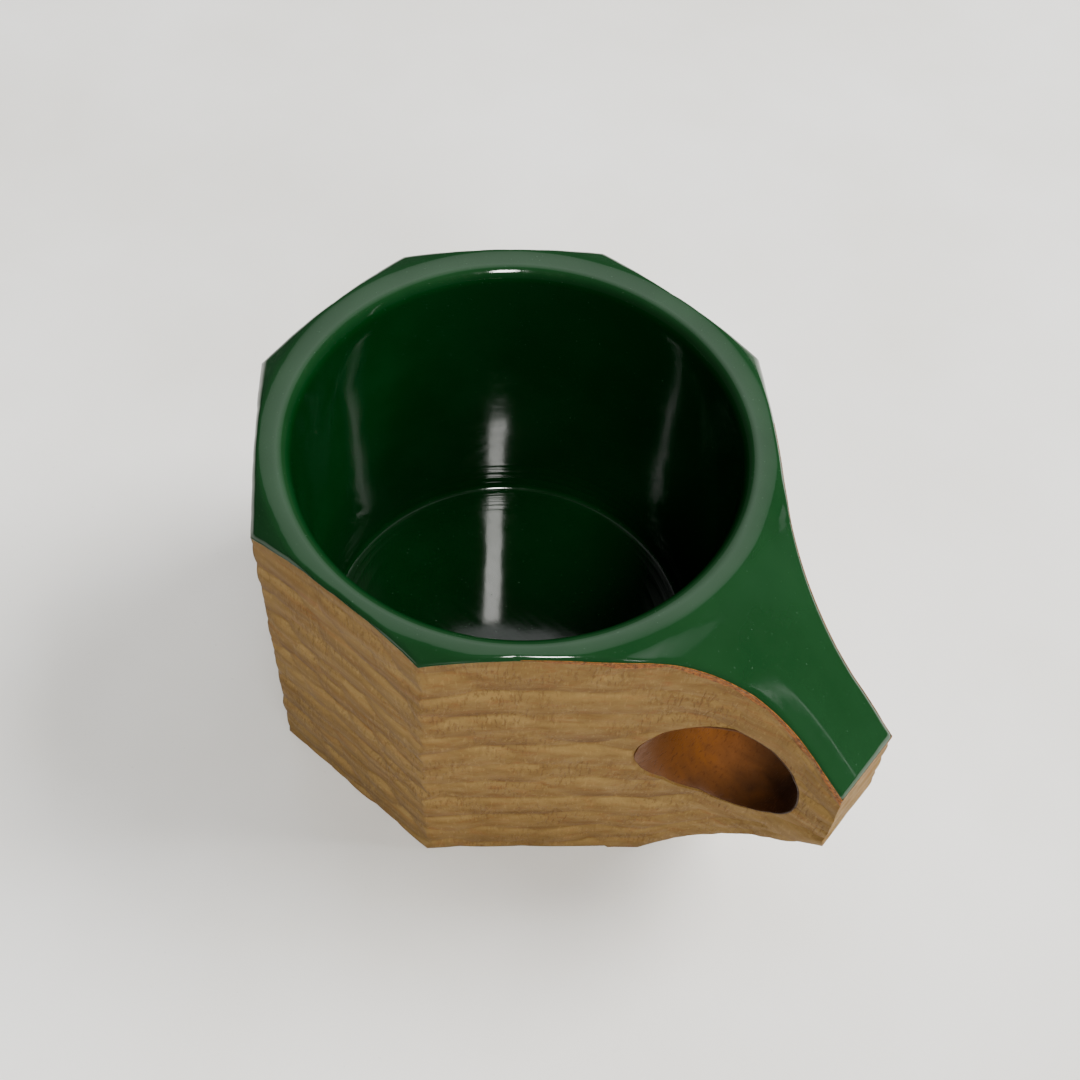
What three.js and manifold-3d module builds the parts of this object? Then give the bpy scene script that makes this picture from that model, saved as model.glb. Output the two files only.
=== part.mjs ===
// A carved wooden cup with an octagonal body, a wing-shaped handle with one
// finger hole, and a green lacquer coat over the bowl, the lip and the handle's top.
// Millimetres, +Z up, +X from the bowl towards the handle. The origin is on the
// table, on the axis of the turned bowl.
import * as THREE from 'three';
import { mergeVertices } from 'three/addons/utils/BufferGeometryUtils.js';
import Module from 'manifold-3d';

const wasm = await Module();
wasm.setup();

// Body: a block carved to eight flats by eye, so no two corners are quite alike.
// Each corner is its angle from +X in degrees and its distance from the bowl axis.
const HEIGHT = 70.5;
const CORNERS = [
  [-22.2, 44.5],
  [22.2, 44.5],
  [66.9, 45.2],
  [111.9, 46],
  [157.3, 46.2],
  [-160.2, 45.7],
  [-114.9, 44.4],
  [-68.5, 42.8],
];
const BASE_SPREAD = 0.035;

// Lip: a broad, gently crowned ring, with a sloping shoulder outside it that the flats cut off.
const LIP_CREST_RADIUS = 38.4;
const LIP_ROUND_RADIUS = 40;
const LIP_ROUND_DROP = 0.12;
const LIP_EDGE_RADIUS = 41.4;
const LIP_EDGE_DROP = 0.45;
const SHOULDER_SLOPE = 0.75;

// Bowl: turned, nearly straight, with a flat floor.
const BOWL_RADIUS = 36;
const BOWL_FLOOR_RADIUS = 35.6;
const BOWL_FLOOR = 8;
const FLOOR_FILLET = 1.8;
const LIP_FILLET = 2.4;

// Handle from above: its sides leave the body's corners and draw in to a narrow tip.
const ROOT_X = 41;
const ROOT_HALF_WIDTH = 16.6;
const WAIST_X = 50.5;
const WAIST_HALF_WIDTH = 8;
const NARROW_X = 62;
const NARROW_HALF_WIDTH = 7.2;
const TIP_HALF_WIDTH = 6.8;

// Handle from the side: its top runs level past the lip and then swoops down,
// and its underside climbs from the base to the leaning end face.
const RAMP_X = 20;
const RAMP_TOP = 68;
const LEVEL_X = 30;
const LEVEL_TOP = 69.9;
const SWOOP_START_X = 40;
const SWOOP_START = 69.4;
const SWOOP_BEND_X = 51.5;
const SWOOP_BEND = 67.6;
const TIP_X = 71.8;
const TIP_TOP = 50.4;
const TIP_BOTTOM = 33;
const TIP_LEAN = 0.9;
const UNDERSIDE_X = 44;

// Finger hole: bored through the handle from side to side.
const HOLE_X = 54;
const HOLE_Z = 39.3;
const HOLE_RADIUS = 12.3;

// Coats: their thickness, and the gap left between neighbouring solids.
const GAP = 0.3;
const GREEN_COAT = 0.5;
const UNDERCOAT = 0.4;
const HOLE_COAT = 0.5;

const ROUND_STEPS = 72;
const FILLET_STEPS = 4;
const CURVE_STEPS = 14;

// A distance that is past the cup on every side.
const BEYOND = 90;

function solid(geometry) {
  const bare = geometry.clone();
  bare.deleteAttribute('normal');
  bare.deleteAttribute('uv');
  const merged = mergeVertices(bare, 1e-4);
  const index = merged.index.array;
  const triangles = [];
  for (let i = 0; i < index.length; i += 3) {
    const [a, b, c] = index.slice(i, i + 3);
    if (a !== b && b !== c && c !== a) {
      triangles.push(a, b, c);
    }
  }
  return new wasm.Manifold(new wasm.Mesh({
    numProp: 3,
    vertProperties: new Float32Array(merged.attributes.position.array),
    triVerts: new Uint32Array(triangles),
  }));
}

function mesh(name, body, material) {
  const { vertProperties, triVerts } = body.getMesh();
  const geometry = new THREE.BufferGeometry();
  geometry.setAttribute('position', new THREE.BufferAttribute(vertProperties, 3));
  geometry.setIndex(new THREE.BufferAttribute(triVerts, 1));
  geometry.computeVertexNormals();
  const result = new THREE.Mesh(geometry, material);
  result.name = name;
  return result;
}

// A quarter round from one angle to another, as points of a lathe profile.
function roundCorner(x, z, radius, fromDegrees, toDegrees) {
  const points = [];
  for (let i = 0; i <= FILLET_STEPS; i += 1) {
    const angle = THREE.MathUtils.degToRad(fromDegrees + (toDegrees - fromDegrees) * i / FILLET_STEPS);
    points.push(new THREE.Vector2(x + radius * Math.cos(angle), z + radius * Math.sin(angle)));
  }
  return points;
}

function turned(profile) {
  return new THREE.LatheGeometry(profile, ROUND_STEPS).rotateX(Math.PI / 2);
}

// Raises an outline to the cup's height, a little wider at its foot than at its top.
function raised(outline) {
  const geometry = new THREE.ExtrudeGeometry(outline, {
    depth: HEIGHT,
    bevelEnabled: false,
    curveSegments: CURVE_STEPS,
  });
  const place = geometry.attributes.position;
  for (let i = 0; i < place.count; i += 1) {
    const spread = 1 + BASE_SPREAD * (1 - place.getZ(i) / HEIGHT);
    place.setXY(i, place.getX(i) * spread, place.getY(i) * spread);
  }
  return solid(geometry);
}

function octagonBlock() {
  const corners = CORNERS.map(([degrees, radius]) => {
    const angle = THREE.MathUtils.degToRad(degrees);
    return new THREE.Vector2(radius * Math.cos(angle), radius * Math.sin(angle));
  });
  return raised(new THREE.Shape(corners));
}

// Everything under the lip and its shoulder, lowered by the coats on top of it.
function underCrown(lowered) {
  const top = HEIGHT - lowered;
  const edge = top - LIP_EDGE_DROP;
  const reach = BEYOND - LIP_EDGE_RADIUS;
  return solid(turned([
    new THREE.Vector2(0, -BEYOND),
    new THREE.Vector2(BEYOND, -BEYOND),
    new THREE.Vector2(BEYOND, edge - SHOULDER_SLOPE * reach),
    new THREE.Vector2(LIP_EDGE_RADIUS, edge),
    new THREE.Vector2(LIP_ROUND_RADIUS, top - LIP_ROUND_DROP),
    new THREE.Vector2(LIP_CREST_RADIUS, top),
    new THREE.Vector2(0, top),
  ]));
}

// A shape drawn in the X-Z plane, made into a slab that reaches past both sides.
function slab(shape) {
  const depth = 2 * BEYOND;
  const geometry = new THREE.ExtrudeGeometry(shape, { depth, bevelEnabled: false, curveSegments: CURVE_STEPS });
  return solid(geometry.rotateX(Math.PI / 2).translate(0, depth / 2, 0));
}

// Everything under the handle's swooping top, lowered in the same way.
function underSwoop(lowered) {
  const tipSlope = (SWOOP_BEND - TIP_TOP) / (TIP_X - SWOOP_BEND_X);
  const outline = new THREE.Shape();
  outline.moveTo(RAMP_X, -BEYOND);
  outline.lineTo(BEYOND, -BEYOND);
  outline.lineTo(BEYOND, TIP_TOP - tipSlope * (BEYOND - TIP_X) - lowered);
  outline.lineTo(TIP_X, TIP_TOP - lowered);
  outline.quadraticCurveTo(SWOOP_BEND_X, SWOOP_BEND - lowered, SWOOP_START_X, SWOOP_START - lowered);
  outline.lineTo(LEVEL_X, LEVEL_TOP - lowered);
  outline.lineTo(RAMP_X, RAMP_TOP - lowered);
  return slab(outline);
}

function underTop(lowered) {
  return underCrown(lowered).add(underSwoop(lowered));
}

// The handle seen from above, from inside the body to past the tip.
function handlePlan() {
  const plan = new THREE.Shape();
  plan.moveTo(0, -ROOT_HALF_WIDTH);
  plan.lineTo(ROOT_X, -ROOT_HALF_WIDTH);
  plan.quadraticCurveTo(WAIST_X, -WAIST_HALF_WIDTH, NARROW_X, -NARROW_HALF_WIDTH);
  plan.lineTo(BEYOND, -TIP_HALF_WIDTH);
  plan.lineTo(BEYOND, TIP_HALF_WIDTH);
  plan.lineTo(NARROW_X, NARROW_HALF_WIDTH);
  plan.quadraticCurveTo(WAIST_X, WAIST_HALF_WIDTH, ROOT_X, ROOT_HALF_WIDTH);
  plan.lineTo(0, ROOT_HALF_WIDTH);
  return raised(plan);
}

// The handle's climbing underside and its end face, seen from the side.
function handleSide() {
  const side = new THREE.Shape();
  side.moveTo(0, 0);
  side.lineTo(UNDERSIDE_X, 0);
  side.lineTo(TIP_X + TIP_LEAN, TIP_BOTTOM);
  side.lineTo(TIP_X, TIP_TOP);
  side.lineTo(TIP_X, HEIGHT);
  side.lineTo(0, HEIGHT);
  return slab(side);
}

// The turned hollow, larger all round by the coat that lines it.
function bowlHollow(coat) {
  const floor = BOWL_FLOOR - coat;
  const top = HEIGHT - coat;
  const floorRadius = BOWL_FLOOR_RADIUS + coat;
  const mouthRadius = BOWL_RADIUS + coat;
  return solid(turned([
    new THREE.Vector2(0, floor),
    ...roundCorner(floorRadius - FLOOR_FILLET, floor + FLOOR_FILLET, FLOOR_FILLET, -90, 0),
    ...roundCorner(mouthRadius + LIP_FILLET, top - LIP_FILLET, LIP_FILLET, 180, 90),
    new THREE.Vector2(mouthRadius + LIP_FILLET, HEIGHT + BEYOND),
    new THREE.Vector2(0, HEIGHT + BEYOND),
  ]));
}

function fingerBore(radius) {
  const bore = new THREE.CylinderGeometry(radius, radius, 2 * HEIGHT, ROUND_STEPS / 2);
  return solid(bore.translate(HOLE_X, 0, HOLE_Z));
}

const underGreen = GREEN_COAT + GAP;
const underBrown = underGreen + UNDERCOAT + GAP;
const block = octagonBlock().add(handlePlan().intersect(handleSide()));

// The carved block itself, with room for the coats.
const woodBody = block
  .intersect(underTop(underBrown))
  .subtract(bowlHollow(underGreen))
  .subtract(fingerBore(HOLE_RADIUS + HOLE_COAT + GAP));

// The brown undercoat, under the green on the lip, the shoulder and the handle's top.
const brownUndercoat = block
  .intersect(underTop(underGreen))
  .subtract(underTop(underGreen + UNDERCOAT))
  .subtract(bowlHollow(underGreen));

// The green coat, one skin over the bowl, the lip, the shoulder and the handle's top.
const greenLacquer = block
  .intersect(underTop(0))
  .subtract(bowlHollow(0))
  .subtract(underTop(GREEN_COAT).subtract(bowlHollow(GREEN_COAT)));

// The brown coat wiped into the finger hole.
const fingerHoleLacquer = fingerBore(HOLE_RADIUS + HOLE_COAT)
  .subtract(fingerBore(HOLE_RADIUS))
  .intersect(block);

const wood = new THREE.MeshStandardMaterial({ color: 0x9b7a4b, roughness: 0.65, metalness: 0 });
const green = new THREE.MeshStandardMaterial({ color: 0x0f4a22, roughness: 0.12, metalness: 0 });
const brown = new THREE.MeshStandardMaterial({ color: 0x8a4d1a, roughness: 0.45, metalness: 0 });
const darkBrown = new THREE.MeshStandardMaterial({ color: 0x4a2410, roughness: 0.35, metalness: 0 });

const cup = new THREE.Group();
cup.add(
  mesh('wood_body', woodBody, wood),
  mesh('brown_undercoat', brownUndercoat, brown),
  mesh('green_lacquer', greenLacquer, green),
  mesh('finger_hole_lacquer', fingerHoleLacquer, darkBrown),
);

export default cup;
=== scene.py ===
import math

import bmesh
import bpy
import numpy as np
from mathutils import Matrix, Vector


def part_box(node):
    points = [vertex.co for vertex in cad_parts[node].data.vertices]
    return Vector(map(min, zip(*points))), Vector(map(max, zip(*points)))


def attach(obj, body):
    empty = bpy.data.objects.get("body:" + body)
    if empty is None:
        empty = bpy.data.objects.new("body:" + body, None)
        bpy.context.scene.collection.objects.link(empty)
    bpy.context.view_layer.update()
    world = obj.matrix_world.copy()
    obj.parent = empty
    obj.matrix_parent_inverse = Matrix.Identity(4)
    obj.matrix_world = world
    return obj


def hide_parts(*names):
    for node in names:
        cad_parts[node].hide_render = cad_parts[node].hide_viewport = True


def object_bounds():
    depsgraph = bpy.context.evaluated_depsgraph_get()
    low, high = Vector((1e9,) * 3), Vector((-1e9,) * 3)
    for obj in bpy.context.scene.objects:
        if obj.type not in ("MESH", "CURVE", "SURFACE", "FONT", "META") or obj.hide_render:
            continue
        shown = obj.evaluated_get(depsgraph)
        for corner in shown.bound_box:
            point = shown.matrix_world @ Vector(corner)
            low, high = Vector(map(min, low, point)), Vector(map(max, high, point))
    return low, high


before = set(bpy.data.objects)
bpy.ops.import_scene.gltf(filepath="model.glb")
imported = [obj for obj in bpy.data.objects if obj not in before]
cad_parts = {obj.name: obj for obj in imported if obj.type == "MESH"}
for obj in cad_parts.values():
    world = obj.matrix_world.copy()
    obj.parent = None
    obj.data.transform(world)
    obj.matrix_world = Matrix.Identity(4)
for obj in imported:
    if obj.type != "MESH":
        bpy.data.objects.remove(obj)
cad_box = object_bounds()


# ---------------------------------------------------------------------------
# The view, the table and the light
# The cup stands on a pale table. It is seen from above its handle side, with the
# camera held a little askew, under a bright ceiling lamp and a pale ceiling.
# ---------------------------------------------------------------------------
MM = 0.001
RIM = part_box("green_lacquer")[1][2] / MM
VIEW_AZIMUTH = math.radians(36.36)
VIEW_ELEVATION = math.radians(56.02)
VIEW_DISTANCE = 205.92
VIEW_SIDEWAYS = 3.24
VIEW_UPWARDS = -16.53
VIEW_ROLL = math.radians(4.96)
LENS = 43.33
FILM_WIDTH = 36.0

TABLE_SIZE = 30.0


def point_camera():
    """Puts the camera round the middle of the rim, turned about its own line of sight."""
    back = Vector((
        math.sin(VIEW_AZIMUTH) * math.cos(VIEW_ELEVATION),
        -math.cos(VIEW_AZIMUTH) * math.cos(VIEW_ELEVATION),
        math.sin(VIEW_ELEVATION),
    ))
    level = Vector((math.cos(VIEW_AZIMUTH), math.sin(VIEW_AZIMUTH), 0.0))
    roll = Matrix.Rotation(VIEW_ROLL, 3, back)
    right = roll @ level
    up = roll @ back.cross(level)
    eye = Vector((0.0, 0.0, RIM)) + back * VIEW_DISTANCE + right * VIEW_SIDEWAYS + up * VIEW_UPWARDS
    lens = bpy.data.cameras.new("camera")
    lens.lens = LENS
    lens.sensor_width = FILM_WIDTH
    lens.clip_start = 0.01
    camera = bpy.data.objects.new("camera", lens)
    turn = Matrix((right, up, back)).transposed().to_4x4()
    camera.matrix_world = Matrix.Translation(eye * MM) @ turn
    bpy.context.scene.collection.objects.link(camera)
    bpy.context.scene.camera = camera


def add_lamp(name, direction, distance, size, watts, colour, mirrored=True, spread=180):
    """A flat lamp that faces the cup from a direction. Only a mirrored one shows in the gloss."""
    lamp = bpy.data.lights.new(name, "AREA")
    lamp.shape = "RECTANGLE"
    lamp.size, lamp.size_y = size
    lamp.energy = watts
    lamp.color = colour
    lamp.spread = math.radians(spread)
    holder = bpy.data.objects.new(name, lamp)
    away = Vector(direction).normalized()
    turn = away.to_track_quat("Z", "Y").to_matrix().to_4x4()
    holder.matrix_world = Matrix.Translation(away * distance) @ turn
    holder.visible_glossy = mirrored
    bpy.context.scene.collection.objects.link(holder)


point_camera()
add_lamp("tube_lamp", (0.43, -0.345, 0.835), 1.6, (0.15, 0.42), 20, (1.0, 0.98, 0.95))
add_lamp("pale_ceiling", (-0.32, 0.44, 0.84), 1.8, (2.3, 2.3), 5.8, (0.98, 0.99, 1.0), spread=90)
add_lamp("side_lamp", (0.865, 0.315, 0.39), 1.8, (0.04, 0.9), 0.22, (1.0, 1.0, 1.0))
add_lamp("window", (0.42, 0.56, 0.71), 2.0, (0.9, 0.9), 74, (1.0, 0.99, 0.97), mirrored=False)
add_lamp("doorway", (0.80, -0.32, 0.50), 2.0, (0.7, 0.7), 9, (1.0, 0.99, 0.97), mirrored=False)

world = bpy.data.worlds.new("room")
world.use_nodes = True
world.node_tree.nodes["Background"].inputs["Color"].default_value = (0.90, 0.92, 0.95, 1)
world.node_tree.nodes["Background"].inputs["Strength"].default_value = 0.07
bpy.context.scene.world = world


def new_material(name, base, roughness, **settings):
    """A material with one shader, whose plain values are set on its own sockets."""
    material = bpy.data.materials.new(name)
    material.use_nodes = True
    shader = material.node_tree.nodes["Principled BSDF"]
    shader.inputs["Base Color"].default_value = (*base, 1)
    shader.inputs["Roughness"].default_value = roughness
    for socket, value in settings.items():
        shader.inputs[socket.replace("_", " ")].default_value = value
    return material


class Nodes:
    """A short way to add nodes to a material and join them up."""

    def __init__(self, material):
        self.tree = material.node_tree
        self.shader = self.tree.nodes["Principled BSDF"]

    def add(self, kind, inputs=None, **settings):
        node = self.tree.nodes.new(kind)
        for name, value in settings.items():
            setattr(node, name, value)
        for name, value in (inputs or {}).items():
            self.join(value, node.inputs[name])
        return node

    def join(self, value, socket):
        if isinstance(value, bpy.types.NodeSocket):
            self.tree.links.new(value, socket)
        else:
            socket.default_value = value

    def millimetres(self, stretch):
        """Object coordinates in millimetres, divided by the size of the pattern along each axis."""
        place = self.add("ShaderNodeTexCoord").outputs["Object"]
        scale = tuple(1 / (MM * size) for size in stretch)
        return self.add("ShaderNodeMapping", {"Vector": place, "Scale": scale}).outputs["Vector"]

    def noise(self, stretch, detail=3.0, roughness=0.55, distortion=0.0):
        settings = {"Vector": self.millimetres(stretch), "Scale": 1.0, "Detail": detail}
        settings.update({"Roughness": roughness, "Distortion": distortion})
        return self.add("ShaderNodeTexNoise", settings).outputs["Fac"]

    def band(self, value, low, high, start=0.0, end=1.0):
        """Spreads a value between low and high over start to end, and clips it there."""
        settings = {"Value": value, "From Min": low, "From Max": high, "To Min": start, "To Max": end}
        return self.add("ShaderNodeMapRange", settings).outputs["Result"]

    def maths(self, operation, first, second):
        return self.add("ShaderNodeMath", {0: first, 1: second}, operation=operation).outputs[0]

    def mix(self, share, first, second, blend_type="MIX"):
        node = self.add("ShaderNodeMix", {"Factor": share}, data_type="RGBA", blend_type=blend_type)
        self.join(first if isinstance(first, bpy.types.NodeSocket) else (*first, 1), node.inputs[6])
        self.join(second if isinstance(second, bpy.types.NodeSocket) else (*second, 1), node.inputs[7])
        return node.outputs[2]

    def bump(self, height, distance, strength=1.0, under=None):
        settings = {"Height": height, "Distance": distance * MM, "Strength": strength}
        if under is not None:
            settings["Normal"] = under
        return self.add("ShaderNodeBump", settings).outputs["Normal"]


def make_table_surface():
    """White painted board: a little warmer and darker in wide patches, with a fine eggshell surface."""
    material = new_material("white_board", (0.86, 0.85, 0.82), 0.6)
    nodes = Nodes(material)
    patches = nodes.band(nodes.noise((90.0, 90.0, 90.0), detail=4.0), 0.35, 0.7)
    colour = nodes.mix(patches, (0.90, 0.895, 0.87), (0.80, 0.785, 0.735))
    specks = nodes.band(nodes.noise((0.9, 0.9, 0.9), detail=2.0), 0.70, 0.80, 0.0, 0.3)
    colour = nodes.mix(specks, colour, (0.55, 0.53, 0.48))
    nodes.join(colour, nodes.shader.inputs["Base Color"])
    nodes.join(nodes.bump(nodes.noise((2.5, 2.5, 2.5)), 0.05), nodes.shader.inputs["Normal"])
    return material


def build_table():
    bm = bmesh.new()
    bmesh.ops.create_grid(bm, x_segments=1, y_segments=1, size=TABLE_SIZE / 2)
    mesh = bpy.data.meshes.new("table")
    bm.to_mesh(mesh)
    bm.free()
    table = bpy.data.objects.new("table", mesh)
    table.location.z = cad_box[0][2]
    bpy.context.scene.collection.objects.link(table)
    mesh.materials.append(make_table_surface())


build_table()


# ---------------------------------------------------------------------------
# The wooden block
# One block of pale, fine-pored hardwood. The bowl is turned on a lathe, then the
# eight flats, the wing handle and its climbing underside are carved with a gouge,
# whose long shallow cuts stay on the surface.
# ---------------------------------------------------------------------------
FLAT_CORNERS = [
    (-22.2, 44.5),
    (22.2, 44.5),
    (66.9, 45.2),
    (111.9, 46.0),
    (157.3, 46.2),
    (199.8, 45.7),
    (245.1, 44.4),
    (291.5, 42.8),
]
FOOT_SPREAD = 0.035
CREST_RADIUS = 38.4
CREST_ROUND = 14.0
LIP_EDGE_RADIUS = 41.4
LIP_CENTRE = (-0.6, 0.8)
LIP_EDGE_BLEND = 0.08
SHOULDER_SLOPE = 0.75
FAR_SHOULDER = 0.5
FAR_DIRECTION = (-0.66, 0.75)
ROOT_X = FLAT_CORNERS[1][1] * math.cos(math.radians(FLAT_CORNERS[1][0]))
ROOT_HALF = FLAT_CORNERS[1][1] * math.sin(math.radians(FLAT_CORNERS[1][0]))
WAIST_X, WAIST_HALF = 50.5, 8.0
NARROW_X, NARROW_HALF = 62.0, 7.2
TIP_HALF = 7.05
TIP_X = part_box("green_lacquer")[1][0] / MM - 0.15
TIP_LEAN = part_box("wood_body")[1][0] / MM - TIP_X - 0.05
TIP_TOP = 50.4
TIP_BOTTOM = 33.0
UNDERSIDE_X = 44.0
SWOOP_X, SWOOP_Z = 40.0, 69.4
SWOOP_BEND_X, SWOOP_BEND_Z = 51.5, 67.6
TOP_BLEND = 0.35
SWOOP_BACK_X, SWOOP_BACK_FALL = 33.0, 0.02
FLANK_START = 0.4
FLANK_DROP = 0.65
FLANK_BLEND = 0.04
FLANK_RISE_X = (36.0, 46.0)
COAT_ROUND = 0.7
COAT_FALL = 0.45
COAT_SKIRT = 0.06
WOOD_EDGE = COAT_FALL + 0.05
CHAMFER = 0.7
CUT_BALANCE = 0.27
CUT_REACH = 1.15
CUT_CALM = 0.65
CUT_FEEL = 0.35
CORNER_EASE = 4.0
ROW_START = 0.2
ROW_JITTER = 0.2
SCALE_ABOVE = (0.42, 0.6)
SCALE_BELOW = (1.0, 1.35)
SCALE_RISE = (0.75, 1.05)
SCALE_STEP = (0.9, 1.25)
WANDER_LENGTH = 4.5
TIP_CUT_SHARE = 0.4
UNDER_CUT_STRETCH = 2.2
UNDER_CUT_EASE = 14.0
BORE_RADIUS = 37.4
BORE_MOUTH_DROP = 2.4
BORE_TAPER = 0.98
BORE_FLOOR = 7.3

COLUMNS = 56
ROWS = 120
HANDLE_STEPS = 56
WALL_HEIGHT = 70.0


def corner_points():
    return [
        Vector((radius * math.cos(math.radians(angle)), radius * math.sin(math.radians(angle)), 0.0))
        for angle, radius in FLAT_CORNERS
    ]


def handle_half_width(x):
    """Half the handle's width at x: a curve down to the narrow part, then nearly parallel."""
    along = np.clip(x, ROOT_X, NARROW_X) - ROOT_X
    bend = ROOT_X - 2 * WAIST_X + NARROW_X
    start = 2 * (WAIST_X - ROOT_X)
    t = (-start + np.sqrt(start ** 2 + 4 * bend * along)) / (2 * bend)
    curve = ROOT_HALF * (1 - t) ** 2 + 2 * WAIST_HALF * t * (1 - t) + NARROW_HALF * t ** 2
    taper = (NARROW_HALF - TIP_HALF) * np.clip((x - NARROW_X) / (TIP_X - NARROW_X), 0, 1)
    return curve - taper


def swoop_height(x):
    """The handle's top from the side: level past the lip, then swooping down to the tip."""
    start = 2 * (SWOOP_BEND_X - SWOOP_X)
    bend = SWOOP_X - 2 * SWOOP_BEND_X + TIP_X
    along = np.maximum(x - SWOOP_X, 0)
    t = (-start + np.sqrt(start ** 2 + 4 * bend * along)) / (2 * bend)
    curve = SWOOP_Z * (1 - t) ** 2 + 2 * SWOOP_BEND_Z * t * (1 - t) + TIP_TOP * t ** 2
    return curve - SWOOP_BACK_FALL * np.maximum(SWOOP_BACK_X - x, 0) ** 2


def smooth_step(x, low, high):
    t = np.clip((x - low) / (high - low), 0, 1)
    return t * t * (3 - 2 * t)


def top_height(x, y):
    """The finished top outside the crest: the lip's shoulder, gentler behind, and the handle's top."""
    out = np.maximum(np.hypot(x - LIP_CENTRE[0], y - LIP_CENTRE[1]) - CREST_RADIUS, 0)
    lip_width = LIP_EDGE_RADIUS - CREST_RADIUS
    crest = out ** 2 / (2 * CREST_ROUND)
    towards = FAR_DIRECTION[1] * y + FAR_DIRECTION[0] * x
    far = np.clip(towards / np.maximum(np.hypot(x, y), 1), 0, 1)
    slope = SHOULDER_SLOPE * (1 - FAR_SHOULDER * far)
    shoulder = lip_width ** 2 / (2 * CREST_ROUND) + slope * (out - lip_width)
    fall = LIP_EDGE_BLEND * np.logaddexp(crest / LIP_EDGE_BLEND, shoulder / LIP_EDGE_BLEND)
    top = TOP_BLEND * np.logaddexp((RIM - fall) / TOP_BLEND, swoop_height(x) / TOP_BLEND)
    across = np.clip(np.abs(y) / handle_half_width(x), 0, 1)
    flank = FLANK_BLEND * np.logaddexp(0, (across - FLANK_START) / FLANK_BLEND) / (1 - FLANK_START)
    return np.minimum(top, RIM) + FLANK_DROP * (1 - flank) * smooth_step(x, *FLANK_RISE_X)


class Wall:
    """One carved flat: where it starts, which way it runs, its outward normal and its cuts."""

    def __init__(self, start, end):
        self.start = start
        self.length = (end - start).length
        self.along = (end - start).normalized()
        self.normal = Vector((self.along.y, -self.along.x, 0.0))
        if self.normal.dot(start) < 0:
            self.normal.negate()
        self.cuts = []

    def add_cuts(self, dice, rows, reach, low=0.0, high=None, wander=0.5, lean=0.0, spread=0.03):
        """Rows of overlapping long scales, laid like bricks between two places along the wall."""
        high = self.length if high is None else high
        spacing = WALL_HEIGHT / rows
        for row in range(-1, rows + 2):
            length = dice.uniform(*reach)
            place = low - dice.uniform(0, length)
            while place < high + length:
                self.cuts.append((
                    place,
                    (row + ROW_START) * spacing + dice.normal(0, ROW_JITTER) * spacing,
                    length,
                    spacing * dice.uniform(*SCALE_ABOVE),
                    spacing * dice.uniform(*SCALE_BELOW),
                    CUT_REACH * dice.uniform(*SCALE_RISE),
                    lean + dice.uniform(-spread, spread),
                    dice.uniform(0, wander),
                    dice.uniform(0, 2 * math.pi),
                ))
                length = dice.uniform(*reach)
                place += length * dice.uniform(*SCALE_STEP)

    def depth(self, s, v):
        """How far in the surface lies at a place along the wall and up it. The outermost scale shows."""
        outermost = np.zeros_like(s)
        for place, level, reach, above, below, rise, lean, wander, phase in self.cuts:
            near = np.abs(s - place) < reach
            u = (s[near] - place) / reach
            sway = wander * np.sin(s[near] / WANDER_LENGTH + phase)
            up = v[near] - level - lean * (s[near] - place) - sway
            round_off = 1 - (up / np.where(up > 0, above, below)) ** 2
            outermost[near] = np.maximum(outermost[near], rise * round_off * (1 - np.abs(u) ** 3))
        calm = CUT_CALM * smooth_step(v, 0.9 * WALL_HEIGHT, WALL_HEIGHT)
        return CUT_BALANCE + (CUT_REACH - outermost - CUT_BALANCE) * (1 - calm)

    def tilt(self, s, v):
        """Whether the surface there leans up (more than 0) or down."""
        return self.depth(s, v + CUT_FEEL) - self.depth(s, v - CUT_FEEL)


def make_walls():
    """The eight flats, two of them carried on along the handle's sides, its end face and its underside."""
    corners = corner_points()
    dice = np.random.default_rng(7)
    walls = []
    for k in range(8):
        first, second = corners[k], corners[(k + 1) % 8]
        walls.append(Wall(second, first) if k == 1 else Wall(first, second))
    for k in range(2, 7):
        walls[k].add_cuts(dice, 12, (4.0, 7.5), wander=0.5, lean=-0.2, spread=0.07)
    for k in (1, 7):
        walls[k].add_cuts(dice, 11, (7.0, 17.0), high=46.0, wander=1.2)
        walls[k].add_cuts(dice, 5, (5.0, 8.0), low=55.0, high=76.0, lean=-0.25, spread=0.1)
    tip = Wall(Vector((TIP_X, -TIP_HALF, 0)), Vector((TIP_X, TIP_HALF, 0)))
    tip.add_cuts(dice, 4, (9.0, 13.0))
    climb = math.atan2(TIP_BOTTOM, TIP_X + TIP_LEAN - UNDERSIDE_X)
    under = Wall(Vector((0, -ROOT_HALF, 0)), Vector((0, ROOT_HALF, 0)))
    under.normal = Vector((math.sin(climb), 0, -math.cos(climb)))
    under.add_cuts(dice, 9, (7.0, 12.0))
    return walls, tip, under


WALLS, TIP_WALL, UNDER_WALL = make_walls()


def handle_side(x, y):
    """On the handle: how far inside its side, how far along the cuts, and the side's outward normal."""
    half = handle_half_width(x)
    step = 0.01
    slope = (handle_half_width(x + step) - half) / step
    size = np.sqrt(1 + slope ** 2)
    normal = np.stack([-slope / size, np.sign(y) / size], -1)
    return (half - np.abs(y)) / size, WALLS[7].length + (x - ROOT_X) * 1.12, normal


def bottom_height(x):
    return np.clip((x - UNDERSIDE_X) / (TIP_X + TIP_LEAN - UNDERSIDE_X), 0, None) * TIP_BOTTOM


def corner_slide(wall, other, corner, along, level, proud):
    """How far the next flat's cuts pull a shared corner along this one, easing off away from it."""
    here, there = ((corner - each.start).dot(each.along) for each in (wall, other))
    own = wall.depth(np.full(level.shape, here), level) - proud - CUT_BALANCE
    beside = other.depth(np.full(level.shape, there), level) - proud - CUT_BALANCE
    slide = (beside - own * wall.normal.dot(other.normal)) / wall.along.dot(other.normal)
    return slide * np.clip(1 - np.abs(along - here) / CORNER_EASE, 0, 1) ** 2


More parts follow.
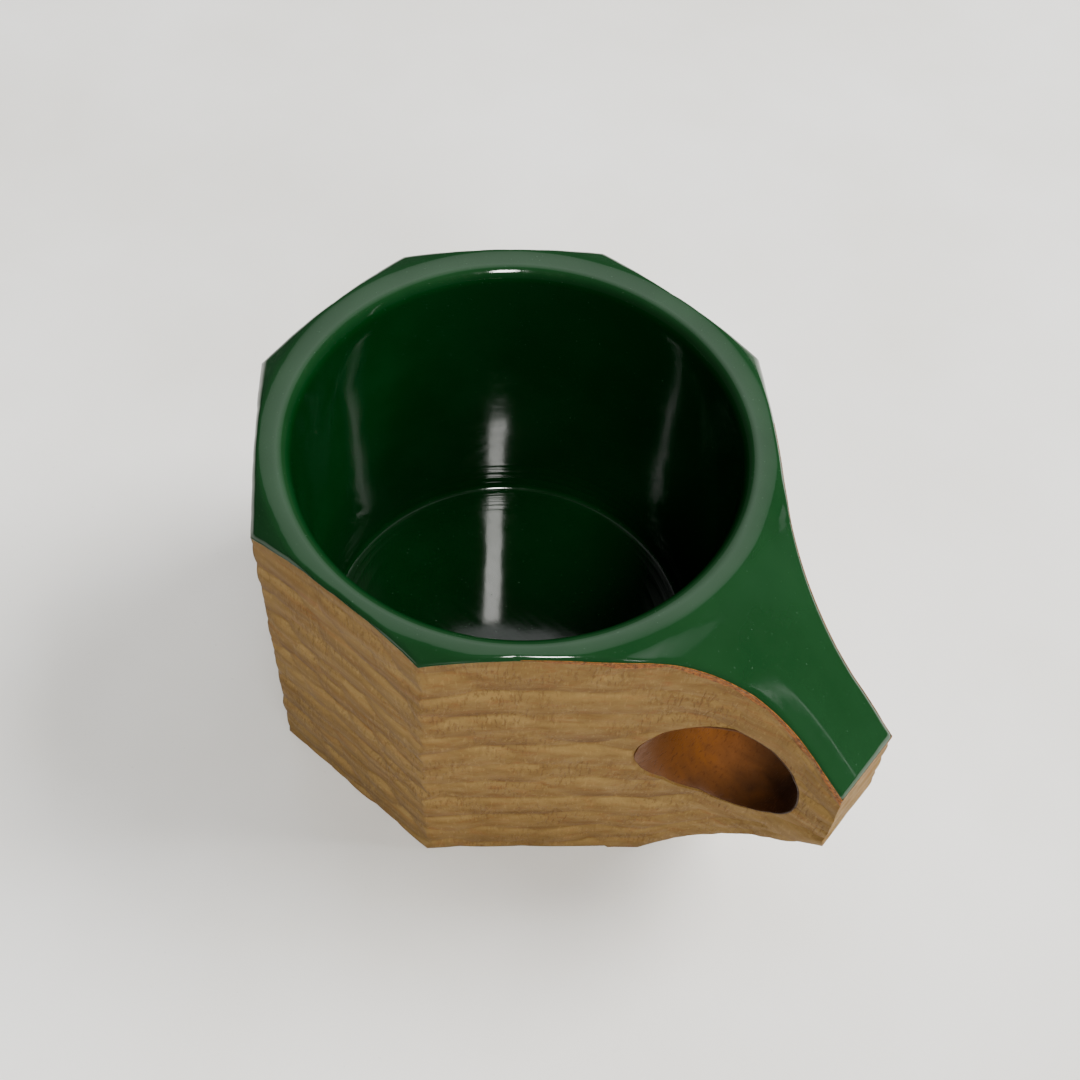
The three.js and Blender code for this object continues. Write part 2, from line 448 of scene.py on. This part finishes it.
def carve(cage, proud=0.0):
    """Moves places on the cage (an upright prism with a box for its handle) onto the carved block."""
    x, y, up = cage[:, 0].copy(), cage[:, 1].copy(), cage[:, 2] / WALL_HEIGHT
    out = np.clip((x - ROOT_X) / (TIP_X - ROOT_X), 0, 1)
    on_handle = out > 1e-5
    across = y / (ROOT_HALF + (TIP_HALF - ROOT_HALF) * out)
    tip = out > 1 - 1e-5
    side = on_handle & (np.abs(across) > 1 - 1e-4)
    under = on_handle & (up < 1e-5)
    x = x + TIP_LEAN * (1 - up) * out
    y = np.where(on_handle, across * handle_half_width(x), y)
    bottom = bottom_height(x)
    z = bottom + up * (top_height(x, y) - WOOD_EDGE - bottom)
    height = up * WALL_HEIGHT

    normals = np.zeros((len(x), 3, 3))
    amounts = np.zeros((len(x), 3))
    lean_for_painted_light = np.zeros(len(x))
    slides = np.zeros((len(x), 3))
    taken = np.zeros(len(x), int)

    def pull(where, normal, wall, along, level, share=1.0):
        index = np.flatnonzero(where)
        normals[index, taken[index]] = normal
        amounts[index, taken[index]] = (wall.depth(along, level) - CUT_BALANCE) * share - proud
        lean_for_painted_light[index] = wall.tilt(along, level) * share
        taken[index] += 1

    corners = corner_points()

    for k in range(1, 8):
        wall = WALLS[k]
        dx, dy = x - wall.start.x, y - wall.start.y
        here = ~on_handle & (np.abs(dx * wall.normal.x + dy * wall.normal.y) < 0.01)
        along = dx[here] * wall.along.x + dy[here] * wall.along.y
        pull(here, wall.normal, wall, along, height[here])
        for beside, corner in ((k - 1, corners[k]), (k + 1, corners[(k + 1) % 8])):
            if 1 <= beside <= 7:
                slide = corner_slide(wall, WALLS[beside], corner, along, height[here], proud)
                slides[here] += slide[:, None] * np.array(wall.along)
    _, along, normal = handle_side(x, y)
    for wall, here in ((WALLS[7], side & (y < 0)), (WALLS[1], side & (y > 0))):
        flat = np.column_stack([normal[here], np.zeros(here.sum())])
        pull(here, flat, wall, along[here], height[here])
    pull(tip, (1.0, 0.0, 0.0), TIP_WALL, y[tip] + TIP_HALF, height[tip], TIP_CUT_SHARE)
    climbing = under & (x > UNDERSIDE_X + 0.3)
    reach = (x[climbing] - UNDERSIDE_X) * UNDER_CUT_STRETCH
    ease = smooth_step(reach, 0.0, UNDER_CUT_EASE)
    pull(climbing, UNDER_WALL.normal, UNDER_WALL, y[climbing] + ROOT_HALF, reach, ease)

    widening = FOOT_SPREAD * (1 - z / RIM)
    place = np.stack([x * (1 + widening * (1 - out)), y * (1 + widening), z], 1)
    move = np.zeros_like(place)
    single = taken == 1
    move[single] = normals[single, 0] * amounts[single, :1] + slides[single]
    several = taken > 1
    solved = np.linalg.pinv(normals[several], rcond=0.05)
    move[several] = np.einsum("nij,nj->ni", solved, amounts[several])
    return place - move, lean_for_painted_light


def wood_cage():
    """An eight-sided prism with a box for the handle, cut into small quads."""
    bm = bmesh.new()
    ring = bmesh.ops.create_circle(bm, cap_ends=True, radius=1, segments=8)["verts"]
    ring.sort(key=lambda vert: math.atan2(vert.co.y, vert.co.x))
    corners = sorted(corner_points(), key=lambda point: math.atan2(point.y, point.x))
    for vert, corner in zip(ring, corners):
        vert.co = corner
    raised = bmesh.ops.extrude_face_region(bm, geom=bm.faces[:])["geom"]
    raised = [item for item in raised if isinstance(item, bmesh.types.BMVert)]
    bmesh.ops.translate(bm, vec=(0, 0, WALL_HEIGHT), verts=raised)
    bmesh.ops.recalc_face_normals(bm, faces=bm.faces)

    root = max(bm.faces, key=lambda face: face.calc_center_median().x)
    pulled = bmesh.ops.extrude_face_region(bm, geom=[root])["geom"]
    for vert in (v for v in pulled if isinstance(v, bmesh.types.BMVert)):
        vert.co.x = TIP_X
        vert.co.y = math.copysign(TIP_HALF, vert.co.y)
    if root.is_valid:
        bmesh.ops.delete(bm, geom=[root], context="FACES_ONLY")

    def cut(chosen, pieces):
        edges = [edge for edge in bm.edges if chosen(*(vert.co for vert in edge.verts))]
        bmesh.ops.subdivide_edges(bm, edges=edges, cuts=pieces - 1, use_grid_fill=True)

    cut(lambda a, b: a.z == b.z and abs(a.x - b.x) > 25 and max(a.x, b.x) > TIP_X - 1, HANDLE_STEPS)
    cut(lambda a, b: a.z != b.z, ROWS)
    cut(lambda a, b: abs(a.z - b.z) < 1e-4 and (a - b).length > 10, COLUMNS)
    return bm


def build_wood():
    """The carved block: the cage moved onto the cup's shape, with the bowl let in from the top."""
    bm = wood_cage()
    place, lean_for_painted_light = carve(np.array([vert.co[:] for vert in bm.verts]))
    radius = np.hypot(place[:, 0], place[:, 1])
    foot = np.clip(CHAMFER - place[:, 2], 0, CHAMFER) * (place[:, 0] < ROOT_X)
    place[:, :2] *= (1 - 0.8 * foot / radius)[:, None]
    # each cut's lean, kept on the wood's points for its painted shade and painted highlight
    lean = bm.verts.layers.float.new("cut_lean_painted_light")
    for vert, point, tilt in zip(bm.verts, place, lean_for_painted_light):
        vert.co = point
        vert[lean] = tilt

    wide = [face for face in bm.faces if len(face.verts) > 100]
    crown = max(wide, key=lambda face: face.calc_center_median().z)
    bmesh.ops.inset_individual(bm, faces=[crown], thickness=1.0)
    for vert in crown.verts:
        spot = vert.co.xy.normalized() * BORE_RADIUS
        vert.co = (spot.x, spot.y, RIM - BORE_MOUTH_DROP)
    deeper = bmesh.ops.extrude_face_region(bm, geom=[crown])["geom"]
    for vert in (v for v in deeper if isinstance(v, bmesh.types.BMVert)):
        vert.co = (vert.co.x * BORE_TAPER, vert.co.y * BORE_TAPER, BORE_FLOOR)
    if crown.is_valid:
        bmesh.ops.delete(bm, geom=[crown], context="FACES_ONLY")
    bmesh.ops.recalc_face_normals(bm, faces=bm.faces)
    return bm


def make_object(name, bm):
    """Turns a mesh drawn in millimetres into a smooth-shaded object in metres."""
    bmesh.ops.scale(bm, vec=(MM, MM, MM), verts=bm.verts)
    mesh = bpy.data.meshes.new(name)
    bm.to_mesh(mesh)
    bm.free()
    mesh.shade_smooth()
    piece = bpy.data.objects.new(name, mesh)
    bpy.context.scene.collection.objects.link(piece)
    return piece


def apply_modifiers(piece):
    """Swaps a piece's mesh for the one that its modifiers make."""
    bpy.context.view_layer.update()
    result = bpy.data.meshes.new_from_object(piece.evaluated_get(bpy.context.evaluated_depsgraph_get()))
    piece.modifiers.clear()
    piece.data = result


def join_cup(piece, node, material):
    """Makes a piece part of the cup: it stands for one node of the design and takes that finish."""
    piece.data.materials.clear()
    piece.data.materials.append(material)
    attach(piece, "root")
    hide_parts(node)


HOLE_X = 54.0
HOLE_Z = 39.3
HOLE_RADIUS = 11.9
HOLE_SIDES = 128
MOUTH_FLARE, SCOOP_FLARE = 0.22, 0.75
FLARE_DEPTH, SCOOP_DEPTH = 0.45, 1.6
LEAD_IN = (0.0, 0.12, 0.3, 0.55, 0.9, 1.4, 2.0, 2.8, 3.8, 5.0)


def hole_mouth(x, z, side):
    """How far out the carved side of the handle lies at a place on it."""
    up = (z - bottom_height(x)) / (top_height(x, 0 * x) - WOOD_EDGE - bottom_height(x))
    _, along, _ = handle_side(x, 0 * x + side)
    wall = WALLS[7] if side < 0 else WALLS[1]
    half = handle_half_width(x) + CUT_BALANCE - wall.depth(along, up * WALL_HEIGHT)
    return half * (1 + FOOT_SPREAD * (1 - z / RIM))


def hole_ring(angle, deep):
    """Where the finger hole's wall is, a way in from its mouth. Its root side is scooped out wider."""
    scoop = np.clip(-np.cos(angle), 0, 1) ** 2
    flare = (MOUTH_FLARE + SCOOP_FLARE * scoop) * np.exp(-deep / (FLARE_DEPTH + SCOOP_DEPTH * scoop))
    radius = HOLE_RADIUS + flare
    return HOLE_X + radius * np.cos(angle), HOLE_Z + radius * np.sin(angle)


def hole_tube(clearance=0.0, beyond=0.0):
    """The finger hole's wall as an open tube from one side of the handle to the other."""
    bm = bmesh.new()
    station = bm.verts.layers.int.new("station")
    ring = bmesh.ops.create_circle(bm, segments=HOLE_SIDES, radius=1)["verts"]
    edges = bm.edges[:]
    ends = [edges]
    middle = (0.25, 0.5, 0.75)
    count = 2 * len(LEAD_IN) + len(middle) + (2 if beyond else 0)
    for number in range(1, count):
        made = bmesh.ops.extrude_edge_only(bm, edges=edges)["geom"]
        edges = [item for item in made if isinstance(item, bmesh.types.BMEdge)]
        for vert in (item for item in made if isinstance(item, bmesh.types.BMVert)):
            vert[station] = number
    ends.append(edges)
    angle = np.array([math.atan2(vert.co.y, vert.co.x) for vert in bm.verts])
    number = np.array([vert[station] for vert in bm.verts])
    mouths = []
    for side in (-1, 1):
        x, z = hole_ring(angle, 0.0)
        mouths.append(hole_mouth(x, z, side))
    stops = [(-1, deep) for deep in LEAD_IN]
    stops += [(0, share) for share in middle]
    stops += [(1, deep) for deep in LEAD_IN[::-1]]
    if beyond:
        stops = [(-1, -beyond)] + stops + [(1, -beyond)]
    for index, (side, deep) in enumerate(stops):
        here = number == index
        near, far = mouths[0][here], mouths[1][here]
        if side:
            x, z = hole_ring(angle[here], max(deep, 0.0))
            y = side * ((near if side < 0 else far) - deep)
        else:
            x, z = hole_ring(angle[here], 20.0)
            y = -(near - LEAD_IN[-1]) + deep * (near + far - 2 * LEAD_IN[-1])
        x = HOLE_X + (x - HOLE_X) * (1 + clearance / HOLE_RADIUS)
        z = HOLE_Z + (z - HOLE_Z) * (1 + clearance / HOLE_RADIUS)
        bm.verts.ensure_lookup_table()
        for vert_index, point in zip(np.flatnonzero(here), zip(x, y, z)):
            bm.verts[vert_index].co = point
    if beyond:
        for loop in ends:
            bmesh.ops.edgeloop_fill(bm, edges=loop)
    bmesh.ops.recalc_face_normals(bm, faces=bm.faces)
    return bm


def make_wood():
    """Oiled hardwood: grain along the handle, redder streaks and short ray flecks across it.

    The parts of each cut that lean down carry painted shade, and those that lean up a painted highlight.
    """
    material = new_material("carved_wood", (0.25, 0.15, 0.04), 0.7, Specular_IOR_Level=0.15)
    nodes = Nodes(material)
    grain = nodes.noise((26.0, 3.2, 2.2), detail=5.0, distortion=0.4)
    colour = nodes.mix(nodes.band(grain, 0.32, 0.68), (0.142, 0.077, 0.018), (0.204, 0.122, 0.034))
    streak = nodes.band(nodes.noise((13.0, 2.6, 1.1), detail=4.0, distortion=0.6), 0.52, 0.72, 0.0, 0.6)
    colour = nodes.mix(streak, colour, (0.178, 0.066, 0.013))
    lean = nodes.add("ShaderNodeAttribute", attribute_name="cut_lean_painted_light").outputs["Fac"]
    # painted shade: the parts of the cuts that lean down are darkened
    colour = nodes.mix(nodes.band(lean, -0.03, -0.20, 0.0, 0.85), colour, (0.078, 0.032, 0.007))
    # painted highlight: the parts of the cuts that lean up are made paler
    colour = nodes.mix(nodes.band(lean, 0.04, 0.26, 0.0, 0.45), colour, (0.32, 0.210, 0.075))
    patches = nodes.band(nodes.noise((9.0, 9.0, 6.0), detail=2.0), 0.38, 0.60)
    flecks = nodes.band(nodes.noise((0.42, 0.42, 2.2), detail=2.0, roughness=0.6), 0.52, 0.64)
    flecks = nodes.maths("MULTIPLY", flecks, patches)
    colour = nodes.mix(nodes.maths("MULTIPLY", flecks, 0.5), colour, (0.105, 0.048, 0.012))
    pale = nodes.band(nodes.noise((0.5, 0.5, 1.6), detail=1.0), 0.60, 0.72, 0.0, 0.22)
    colour = nodes.mix(pale, colour, (0.36, 0.235, 0.08))
    pores = nodes.band(nodes.noise((0.5, 0.28, 0.28), detail=1.0), 0.62, 0.74, 0.0, 0.35)
    colour = nodes.mix(pores, colour, (0.13, 0.062, 0.016))
    nodes.join(colour, nodes.shader.inputs["Base Color"])
    nodes.join(nodes.band(grain, 0.3, 0.7, 0.75, 0.6), nodes.shader.inputs["Roughness"])
    normal = nodes.bump(flecks, -0.08)
    normal = nodes.bump(nodes.noise((1.6, 0.3, 0.3), detail=3.0), 0.05, under=normal)
    nodes.join(normal, nodes.shader.inputs["Normal"])
    return material


cup_wood = make_object("cup_wood", build_wood())
borer = make_object("borer", hole_tube(clearance=0.03, beyond=4.0))
boring = cup_wood.modifiers.new("finger_hole", "BOOLEAN")
boring.operation = "DIFFERENCE"
boring.solver = "EXACT"
boring.object = borer
apply_modifiers(cup_wood)
bpy.data.objects.remove(borer)
cup_wood.data.set_sharp_from_angle(angle=math.radians(60))
join_cup(cup_wood, "wood_body", make_wood())


# ---------------------------------------------------------------------------
# The finger hole's coat
# Clear brown lacquer wiped over the bored wall of the hole. It dries to a satin
# shine. Its colour carries painted shade, darker towards the handle's tip.
# ---------------------------------------------------------------------------
HOLE_COAT = 0.25


def make_lining():
    """Brown lacquer with fine pores: orange on the cup's side of the hole, with painted shade making it
    nearly black on the tip's side.
    """
    material = new_material("brown_lacquer", (0.12, 0.04, 0.008), 0.5, Specular_IOR_Level=0.18)
    nodes = Nodes(material)
    place = nodes.add("ShaderNodeTexCoord").outputs["Object"]
    along = nodes.add("ShaderNodeSeparateXYZ", {"Vector": place}).outputs["X"]
    mottle = nodes.noise((5.0, 3.0, 3.0), detail=4.0, distortion=0.5)
    patchy = nodes.band(mottle, 0.3, 0.7, -0.18, 0.18)
    # painted shade: the lining darkens along the hole towards the handle's tip, with a randomly patchy
    # edge
    depth = nodes.maths("ADD", nodes.band(along, 0.044, 0.064), patchy)
    colour = nodes.mix(nodes.band(depth, 0.05, 0.9), (0.105, 0.036, 0.007), (0.028, 0.010, 0.003))
    pores = nodes.band(nodes.noise((0.35, 0.9, 0.35), detail=2.0), 0.56, 0.68, 0.0, 0.6)
    colour = nodes.mix(pores, colour, (0.045, 0.014, 0.003))
    nodes.join(colour, nodes.shader.inputs["Base Color"])
    nodes.join(nodes.band(mottle, 0.3, 0.7, 0.38, 0.6), nodes.shader.inputs["Roughness"])
    normal = nodes.bump(nodes.noise((2.2, 2.2, 2.2), detail=2.0), 0.12)
    nodes.join(nodes.bump(pores, -0.05, under=normal), nodes.shader.inputs["Normal"])
    return material


cup_finger_lining = make_object("cup_finger_lining", hole_tube())
thickness = cup_finger_lining.modifiers.new("coat", "SOLIDIFY")
thickness.thickness = HOLE_COAT * MM
thickness.offset = -1
join_cup(cup_finger_lining, "finger_hole_lacquer", make_lining())


# ---------------------------------------------------------------------------
# The green lacquer
# Thick glossy lacquer, brushed in many coats over the bowl, the lip, the shoulder
# and the handle's top. It ends in a rounded edge along the flats' top edges.
# ---------------------------------------------------------------------------
BOWL_RADIUS = 36.05
BOWL_FLOOR_RADIUS = 35.7
BOWL_FLOOR = 8.0
LIP_DEPTH = 2.7
FLOOR_FILLET = 1.1
FLOOR_CENTRE_RADIUS = 1.2
WALL_MARKS = ((15.5, 0.035), (13.2, 0.035), (11.2, 0.08))
FLOOR_MARKS = ((34.0, 0.02), (32.6, 0.02), (30.2, 0.015))
WALL_STEPS = 25
FILLET_STEPS = 6
FLOOR_STEPS = 12
COAT_THICKNESS = 0.35
COAT_PROUD = 0.06
SHOULDER_RINGS = 12
LIP_RINGS = 9
TIP_ROWS = (1.3, 0.95, 0.65, 0.4, 0.2, 0.07, 0.0)
SPOKES = 8 * COLUMNS


def turned_line(start, end, steps, marks=()):
    """Points along a straight turned line, with the shallow grooves (place, depth) that the tool left."""
    start, end = Vector(start), Vector(end)
    length = (end - start).length
    into = Vector((end.y - start.y, start.x - end.x)) / length
    places = {step / steps: 0.0 for step in range(1, steps + 1)}
    for place, depth in marks:
        for offset, share in ((-0.3, 0.0), (-0.14, 0.6), (0.0, 1.0), (0.14, 0.6), (0.3, 0.0)):
            places[place + offset / length] = depth * share
    return [start.lerp(end, place) - into * places[place] for place in sorted(places)]


def bowl_profile():
    """Radius and height of each ring inside the crest: down the lip and the wall, and over the floor."""
    reach = CREST_RADIUS - BOWL_RADIUS
    lip = [
        Vector((CREST_RADIUS - reach * math.sin(angle), RIM - LIP_DEPTH * (1 - math.cos(angle))))
        for angle in (math.pi / 2 * step / LIP_RINGS for step in range(LIP_RINGS + 1))
    ]
    foot = (BOWL_FLOOR_RADIUS, BOWL_FLOOR + FLOOR_FILLET)
    height = lip[-1].y - foot[1]
    wall_marks = [((lip[-1].y - z) / height, depth) for z, depth in WALL_MARKS]
    wall = turned_line(lip[-1], foot, WALL_STEPS, wall_marks)
    fillet = [
        Vector((
            foot[0] - FLOOR_FILLET * (1 - math.cos(angle)),
            foot[1] - FLOOR_FILLET * math.sin(angle),
        ))
        for angle in (math.pi / 2 * step / FILLET_STEPS for step in range(1, FILLET_STEPS + 1))
    ]
    centre = (FLOOR_CENTRE_RADIUS, BOWL_FLOOR)
    span = fillet[-1].x - centre[0]
    floor_marks = [((fillet[-1].x - radius) / span, depth) for radius, depth in FLOOR_MARKS]
    return lip + wall + fillet + turned_line(fillet[-1], centre, FLOOR_STEPS, floor_marks)


def edge_drop(gap):
    """How far a rounded edge has fallen, a given way in from its outline."""
    return COAT_FALL * (np.clip(COAT_ROUND - gap, 0, COAT_ROUND) / COAT_ROUND) ** 2


def edge_gap(x, y):
    """How far inside the coat's carved outline a place on the top is: from its sides, from its tip."""
    top = np.full(x.shape, WALL_HEIGHT)
    gap = np.full(x.shape, np.inf)
    body = x <= ROOT_X
    for k in range(1, 8):
        wall = WALLS[k]
        dx, dy = x - wall.start.x, y - wall.start.y
        inside = -(dx * wall.normal.x + dy * wall.normal.y)
        inside -= wall.depth(dx * wall.along.x + dy * wall.along.y, top)
        gap = np.where(body, np.minimum(gap, inside), gap)
    inside, along, _ = handle_side(x, y)
    depth = np.where(y < 0, WALLS[7].depth(along, top), WALLS[1].depth(along, top))
    gap = np.where(body, gap, inside - depth)
    tip_gap = TIP_X - x - TIP_CUT_SHARE * (TIP_WALL.depth(y + TIP_HALF, top) - CUT_BALANCE)
    return gap + COAT_PROUD + CUT_BALANCE, tip_gap + COAT_PROUD


def coat_height(x, y):
    gap, tip_gap = edge_gap(x, y)
    return top_height(x, y) - edge_drop(gap) - edge_drop(tip_gap)


def build_coat():
    """Rings from the outline in and down the bowl, a grid over the handle, and a skirt all round."""
    profile = bowl_profile()
    bm = bmesh.new()
    spoke = bm.verts.layers.int.new("spoke")
    ring = bm.verts.layers.int.new("ring")
    loop = bmesh.ops.create_circle(bm, segments=SPOKES, radius=1)["verts"]
    turn = 2 * math.pi
    loop.sort(key=lambda vert: (math.atan2(vert.co.y, vert.co.x) - 1e-6) % turn)
    for index, vert in enumerate(loop):
        vert[spoke] = index
    rim = bm.edges[:]
    edges = rim

    def extend(edges, number):
        made = bmesh.ops.extrude_edge_only(bm, edges=edges)["geom"]
        for vert in (item for item in made if isinstance(item, bmesh.types.BMVert)):
            vert[ring] = number
        return [item for item in made if isinstance(item, bmesh.types.BMEdge)]

    for number in range(1, SHOULDER_RINGS + len(profile)):
        edges = extend(edges, number)
    bmesh.ops.edgeloop_fill(bm, edges=edges)
    edges = [edge for edge in rim if all(vert[spoke] <= COLUMNS for vert in edge.verts)]
    rows = [ROOT_X + (TIP_X - 1.6 - ROOT_X) * step / HANDLE_STEPS for step in range(1, HANDLE_STEPS + 1)]
    rows += [TIP_X - inset for inset in TIP_ROWS]
    for number in range(1, len(rows) + 1):
        edges = extend(edges, -number)
    skirt = extend([edge for edge in bm.edges if edge.is_boundary], 1000)
    bm.verts.ensure_lookup_table()

    spokes = np.array([vert[spoke] for vert in bm.verts])
    rings = np.array([vert[ring] for vert in bm.verts])
    corners = np.array([corner[:2] for corner in corner_points()] * 2)
    flat, share = np.divmod(spokes, COLUMNS)
    share = (share / COLUMNS)[:, None]
    cage_xy = corners[flat] * (1 - share) + corners[flat + 1] * share
    cage = np.column_stack([cage_xy, np.full(len(spokes), WALL_HEIGHT)])
    outline, _ = carve(cage, COAT_PROUD)
    outline = outline[:, :2]
    outline[(spokes <= COLUMNS)] = cage_xy[(spokes <= COLUMNS)]
    place = np.zeros((len(spokes), 3))

    shoulder = (rings >= 0) & (rings <= SHOULDER_RINGS)
    share = 1 - rings[shoulder] / SHOULDER_RINGS
    share = 1 - (1 - share) ** 1.8
    inner = cage_xy / np.hypot(cage_xy[:, 0], cage_xy[:, 1])[:, None]
    share = share[:, None]
    place[shoulder, :2] = inner[shoulder] * CREST_RADIUS * (1 - share) + outline[shoulder] * share
    for number, point in enumerate(profile):
        here = rings == SHOULDER_RINGS + number
        place[here, :2] = inner[here] * point.x
        place[here, 2] = point.y
    for number, x in enumerate(rows):
        here = rings == -(number + 1)
        across = cage_xy[here, 1] / ROOT_HALF
        out = (x - ROOT_X) / (TIP_X - ROOT_X)
        box = np.column_stack([
            np.full(across.shape, x if x < TIP_X else TIP_X),
            across * (ROOT_HALF + (TIP_HALF - ROOT_HALF) * out),
            np.full(across.shape, WALL_HEIGHT),
        ])
        moved, _ = carve(box, COAT_PROUD)
        place[here, :2] = moved[:, :2]
    top = shoulder | (rings < 0)
    place[top, 2] = coat_height(place[top, 0], place[top, 1])
    for vert, point in zip(bm.verts, place):
        vert.co = point
    for edge in skirt:
        for vert in edge.verts:
            above = next(e.other_vert(vert) for e in vert.link_edges if e.other_vert(vert)[ring] != 1000)
            vert.co = above.co - Vector((0, 0, COAT_SKIRT))
    bmesh.ops.recalc_face_normals(bm, faces=bm.faces)
    if max(bm.faces, key=lambda face: len(face.verts)).normal.z < 0:
        bmesh.ops.reverse_faces(bm, faces=bm.faces)
    return bm


def make_green():
    """Deep green lacquer with painted shade that makes it darkest in the bowl, with the brush's faint
    waves, dust and rubbing marks.
    """
    material = new_material("green_lacquer", (0.004, 0.045, 0.010), 0.09)
    nodes = Nodes(material)
    flat = nodes.millimetres((1.0, 1.0, 1e9))
    radius = nodes.add("ShaderNodeVectorMath", {"Vector": flat}, operation="LENGTH").outputs["Value"]
    # painted shade: inside the lip's inner edge the green is mixed to a darker copy of the outer green
    inside = nodes.band(radius, 37.6, 36.2)
    clouds = nodes.band(nodes.noise((14.0, 14.0, 14.0), detail=3.0), 0.35, 0.65)
    outer = nodes.mix(clouds, (0.0045, 0.030, 0.0080), (0.0068, 0.036, 0.0108))
    inner = nodes.mix(clouds, (0.0006, 0.018, 0.0024), (0.0014, 0.023, 0.0040))
    colour = nodes.mix(inside, outer, inner)
    dust = nodes.band(nodes.noise((0.45, 0.45, 0.45), detail=1.0), 0.74, 0.80, 0.0, 0.35)
    colour = nodes.mix(dust, colour, (0.06, 0.11, 0.07))
    nodes.join(colour, nodes.shader.inputs["Base Color"])
    rubbed = nodes.band(nodes.noise((16.0, 1.2, 1.2), detail=4.0), 0.4, 0.7, 0.07, 0.13)
    dull = nodes.maths("ADD", rubbed, nodes.maths("MULTIPLY", dust, 0.5))
    nodes.join(dull, nodes.shader.inputs["Roughness"])
    waves = nodes.bump(nodes.noise((11.0, 11.0, 11.0), detail=1.0), 0.10)
    normal = nodes.bump(nodes.noise((1.4, 1.4, 1.4), detail=2.0), 0.004, under=waves)
    nodes.join(normal, nodes.shader.inputs["Normal"])
    return material


cup_green = make_object("cup_green", build_coat())
shell = cup_green.modifiers.new("coat", "SOLIDIFY")
shell.thickness = COAT_THICKNESS * MM
shell.offset = -1
join_cup(cup_green, "green_lacquer", make_green())


# ---------------------------------------------------------------------------
# The brown undercoat
# A thin coat of reddish brown ground lacquer that seals the wood below the green.
# Only its ragged lower edge shows, along the handle's sides.
# ---------------------------------------------------------------------------
UNDERCOAT_PROUD = 0.04
UNDERCOAT_THICKNESS = 0.12
UNDERCOAT_COLUMNS = 700
UNDERCOAT_ROWS = 6


def ragged(distance, dice, waves=40):
    """A wandering line: many waves of random length and phase, added up."""
    line = np.zeros_like(distance)
    for _ in range(waves):
        length = dice.uniform(0.8, 14.0)
        height = dice.normal(0, 0.35) * math.sqrt(length)
        phase = dice.uniform(0, 6.3)
        line += height * np.sin(distance * 2 * math.pi / length + phase)
    return line / math.sqrt(waves)


def build_undercoat():
    """A narrow band from the near flat round the handle to the far flat, just under the coat's edge."""
    corners = corner_points()
    near = corners[7].lerp(corners[0], 0.42)
    far = corners[1].lerp(corners[2], 0.55)
    tip = [Vector((TIP_X, side * TIP_HALF, 0)) for side in (-1, 1)]
    route = [near, corners[0], *tip, corners[1], far]
    lengths = np.cumsum([0.0] + [(b - a).length for a, b in zip(route, route[1:])])
    bm = bmesh.new()
    bmesh.ops.create_grid(bm, x_segments=UNDERCOAT_COLUMNS, y_segments=UNDERCOAT_ROWS, size=1)
    grid = np.array([vert.co[:] for vert in bm.verts])
    distance = (grid[:, 0] + 1) / 2 * lengths[-1]
    down = (1 - grid[:, 1]) / 2
    path_x = np.interp(distance, lengths, [point.x for point in route])
    path_y = np.interp(distance, lengths, [point.y for point in route])
    ends = smooth_step(np.minimum(distance, lengths[-1] - distance), 0.0, 14.0)
    dice = np.random.default_rng(11)
    tip_face = (distance > lengths[2]) & (distance < lengths[3])
    band = np.clip(1.05 + 0.4 * ragged(distance, dice), 0.3, 1.9) * ends * np.where(tip_face, 0.15, 1.0)
    drop = COAT_FALL - 0.1 + down * (COAT_SKIRT + 0.15 + band)
    bottom = bottom_height(path_x)
    tall = top_height(path_x, path_y) - WOOD_EDGE - bottom
    cage = np.column_stack([path_x, path_y, WALL_HEIGHT * (1 - (drop - WOOD_EDGE) / tall)])
    place, _ = carve(cage, UNDERCOAT_PROUD)
    for vert, point in zip(bm.verts, place):
        vert.co = point
    middle = min(bm.faces, key=lambda face: (face.calc_center_median() - Vector((60, -8, 60))).length)
    if middle.normal.y > 0:
        bmesh.ops.reverse_faces(bm, faces=bm.faces)
    return bm


def make_undercoat():
    """Ground lacquer mixed with powdered clay: matt, speckled from orange to dark brown."""
    material = new_material("brown_undercoat", (0.2, 0.07, 0.015), 0.65, Specular_IOR_Level=0.15)
    nodes = Nodes(material)
    speckle = nodes.noise((0.55, 0.55, 0.55), detail=4.0, roughness=0.7)
    colour = nodes.mix(nodes.band(speckle, 0.36, 0.62), (0.075, 0.024, 0.006), (0.300, 0.105, 0.018))
    nodes.join(colour, nodes.shader.inputs["Base Color"])
    nodes.join(nodes.bump(speckle, 0.08), nodes.shader.inputs["Normal"])
    return material


cup_undercoat = make_object("cup_undercoat", build_undercoat())
layer = cup_undercoat.modifiers.new("coat", "SOLIDIFY")
layer.thickness = UNDERCOAT_THICKNESS * MM
layer.offset = -1
join_cup(cup_undercoat, "brown_undercoat", make_undercoat())
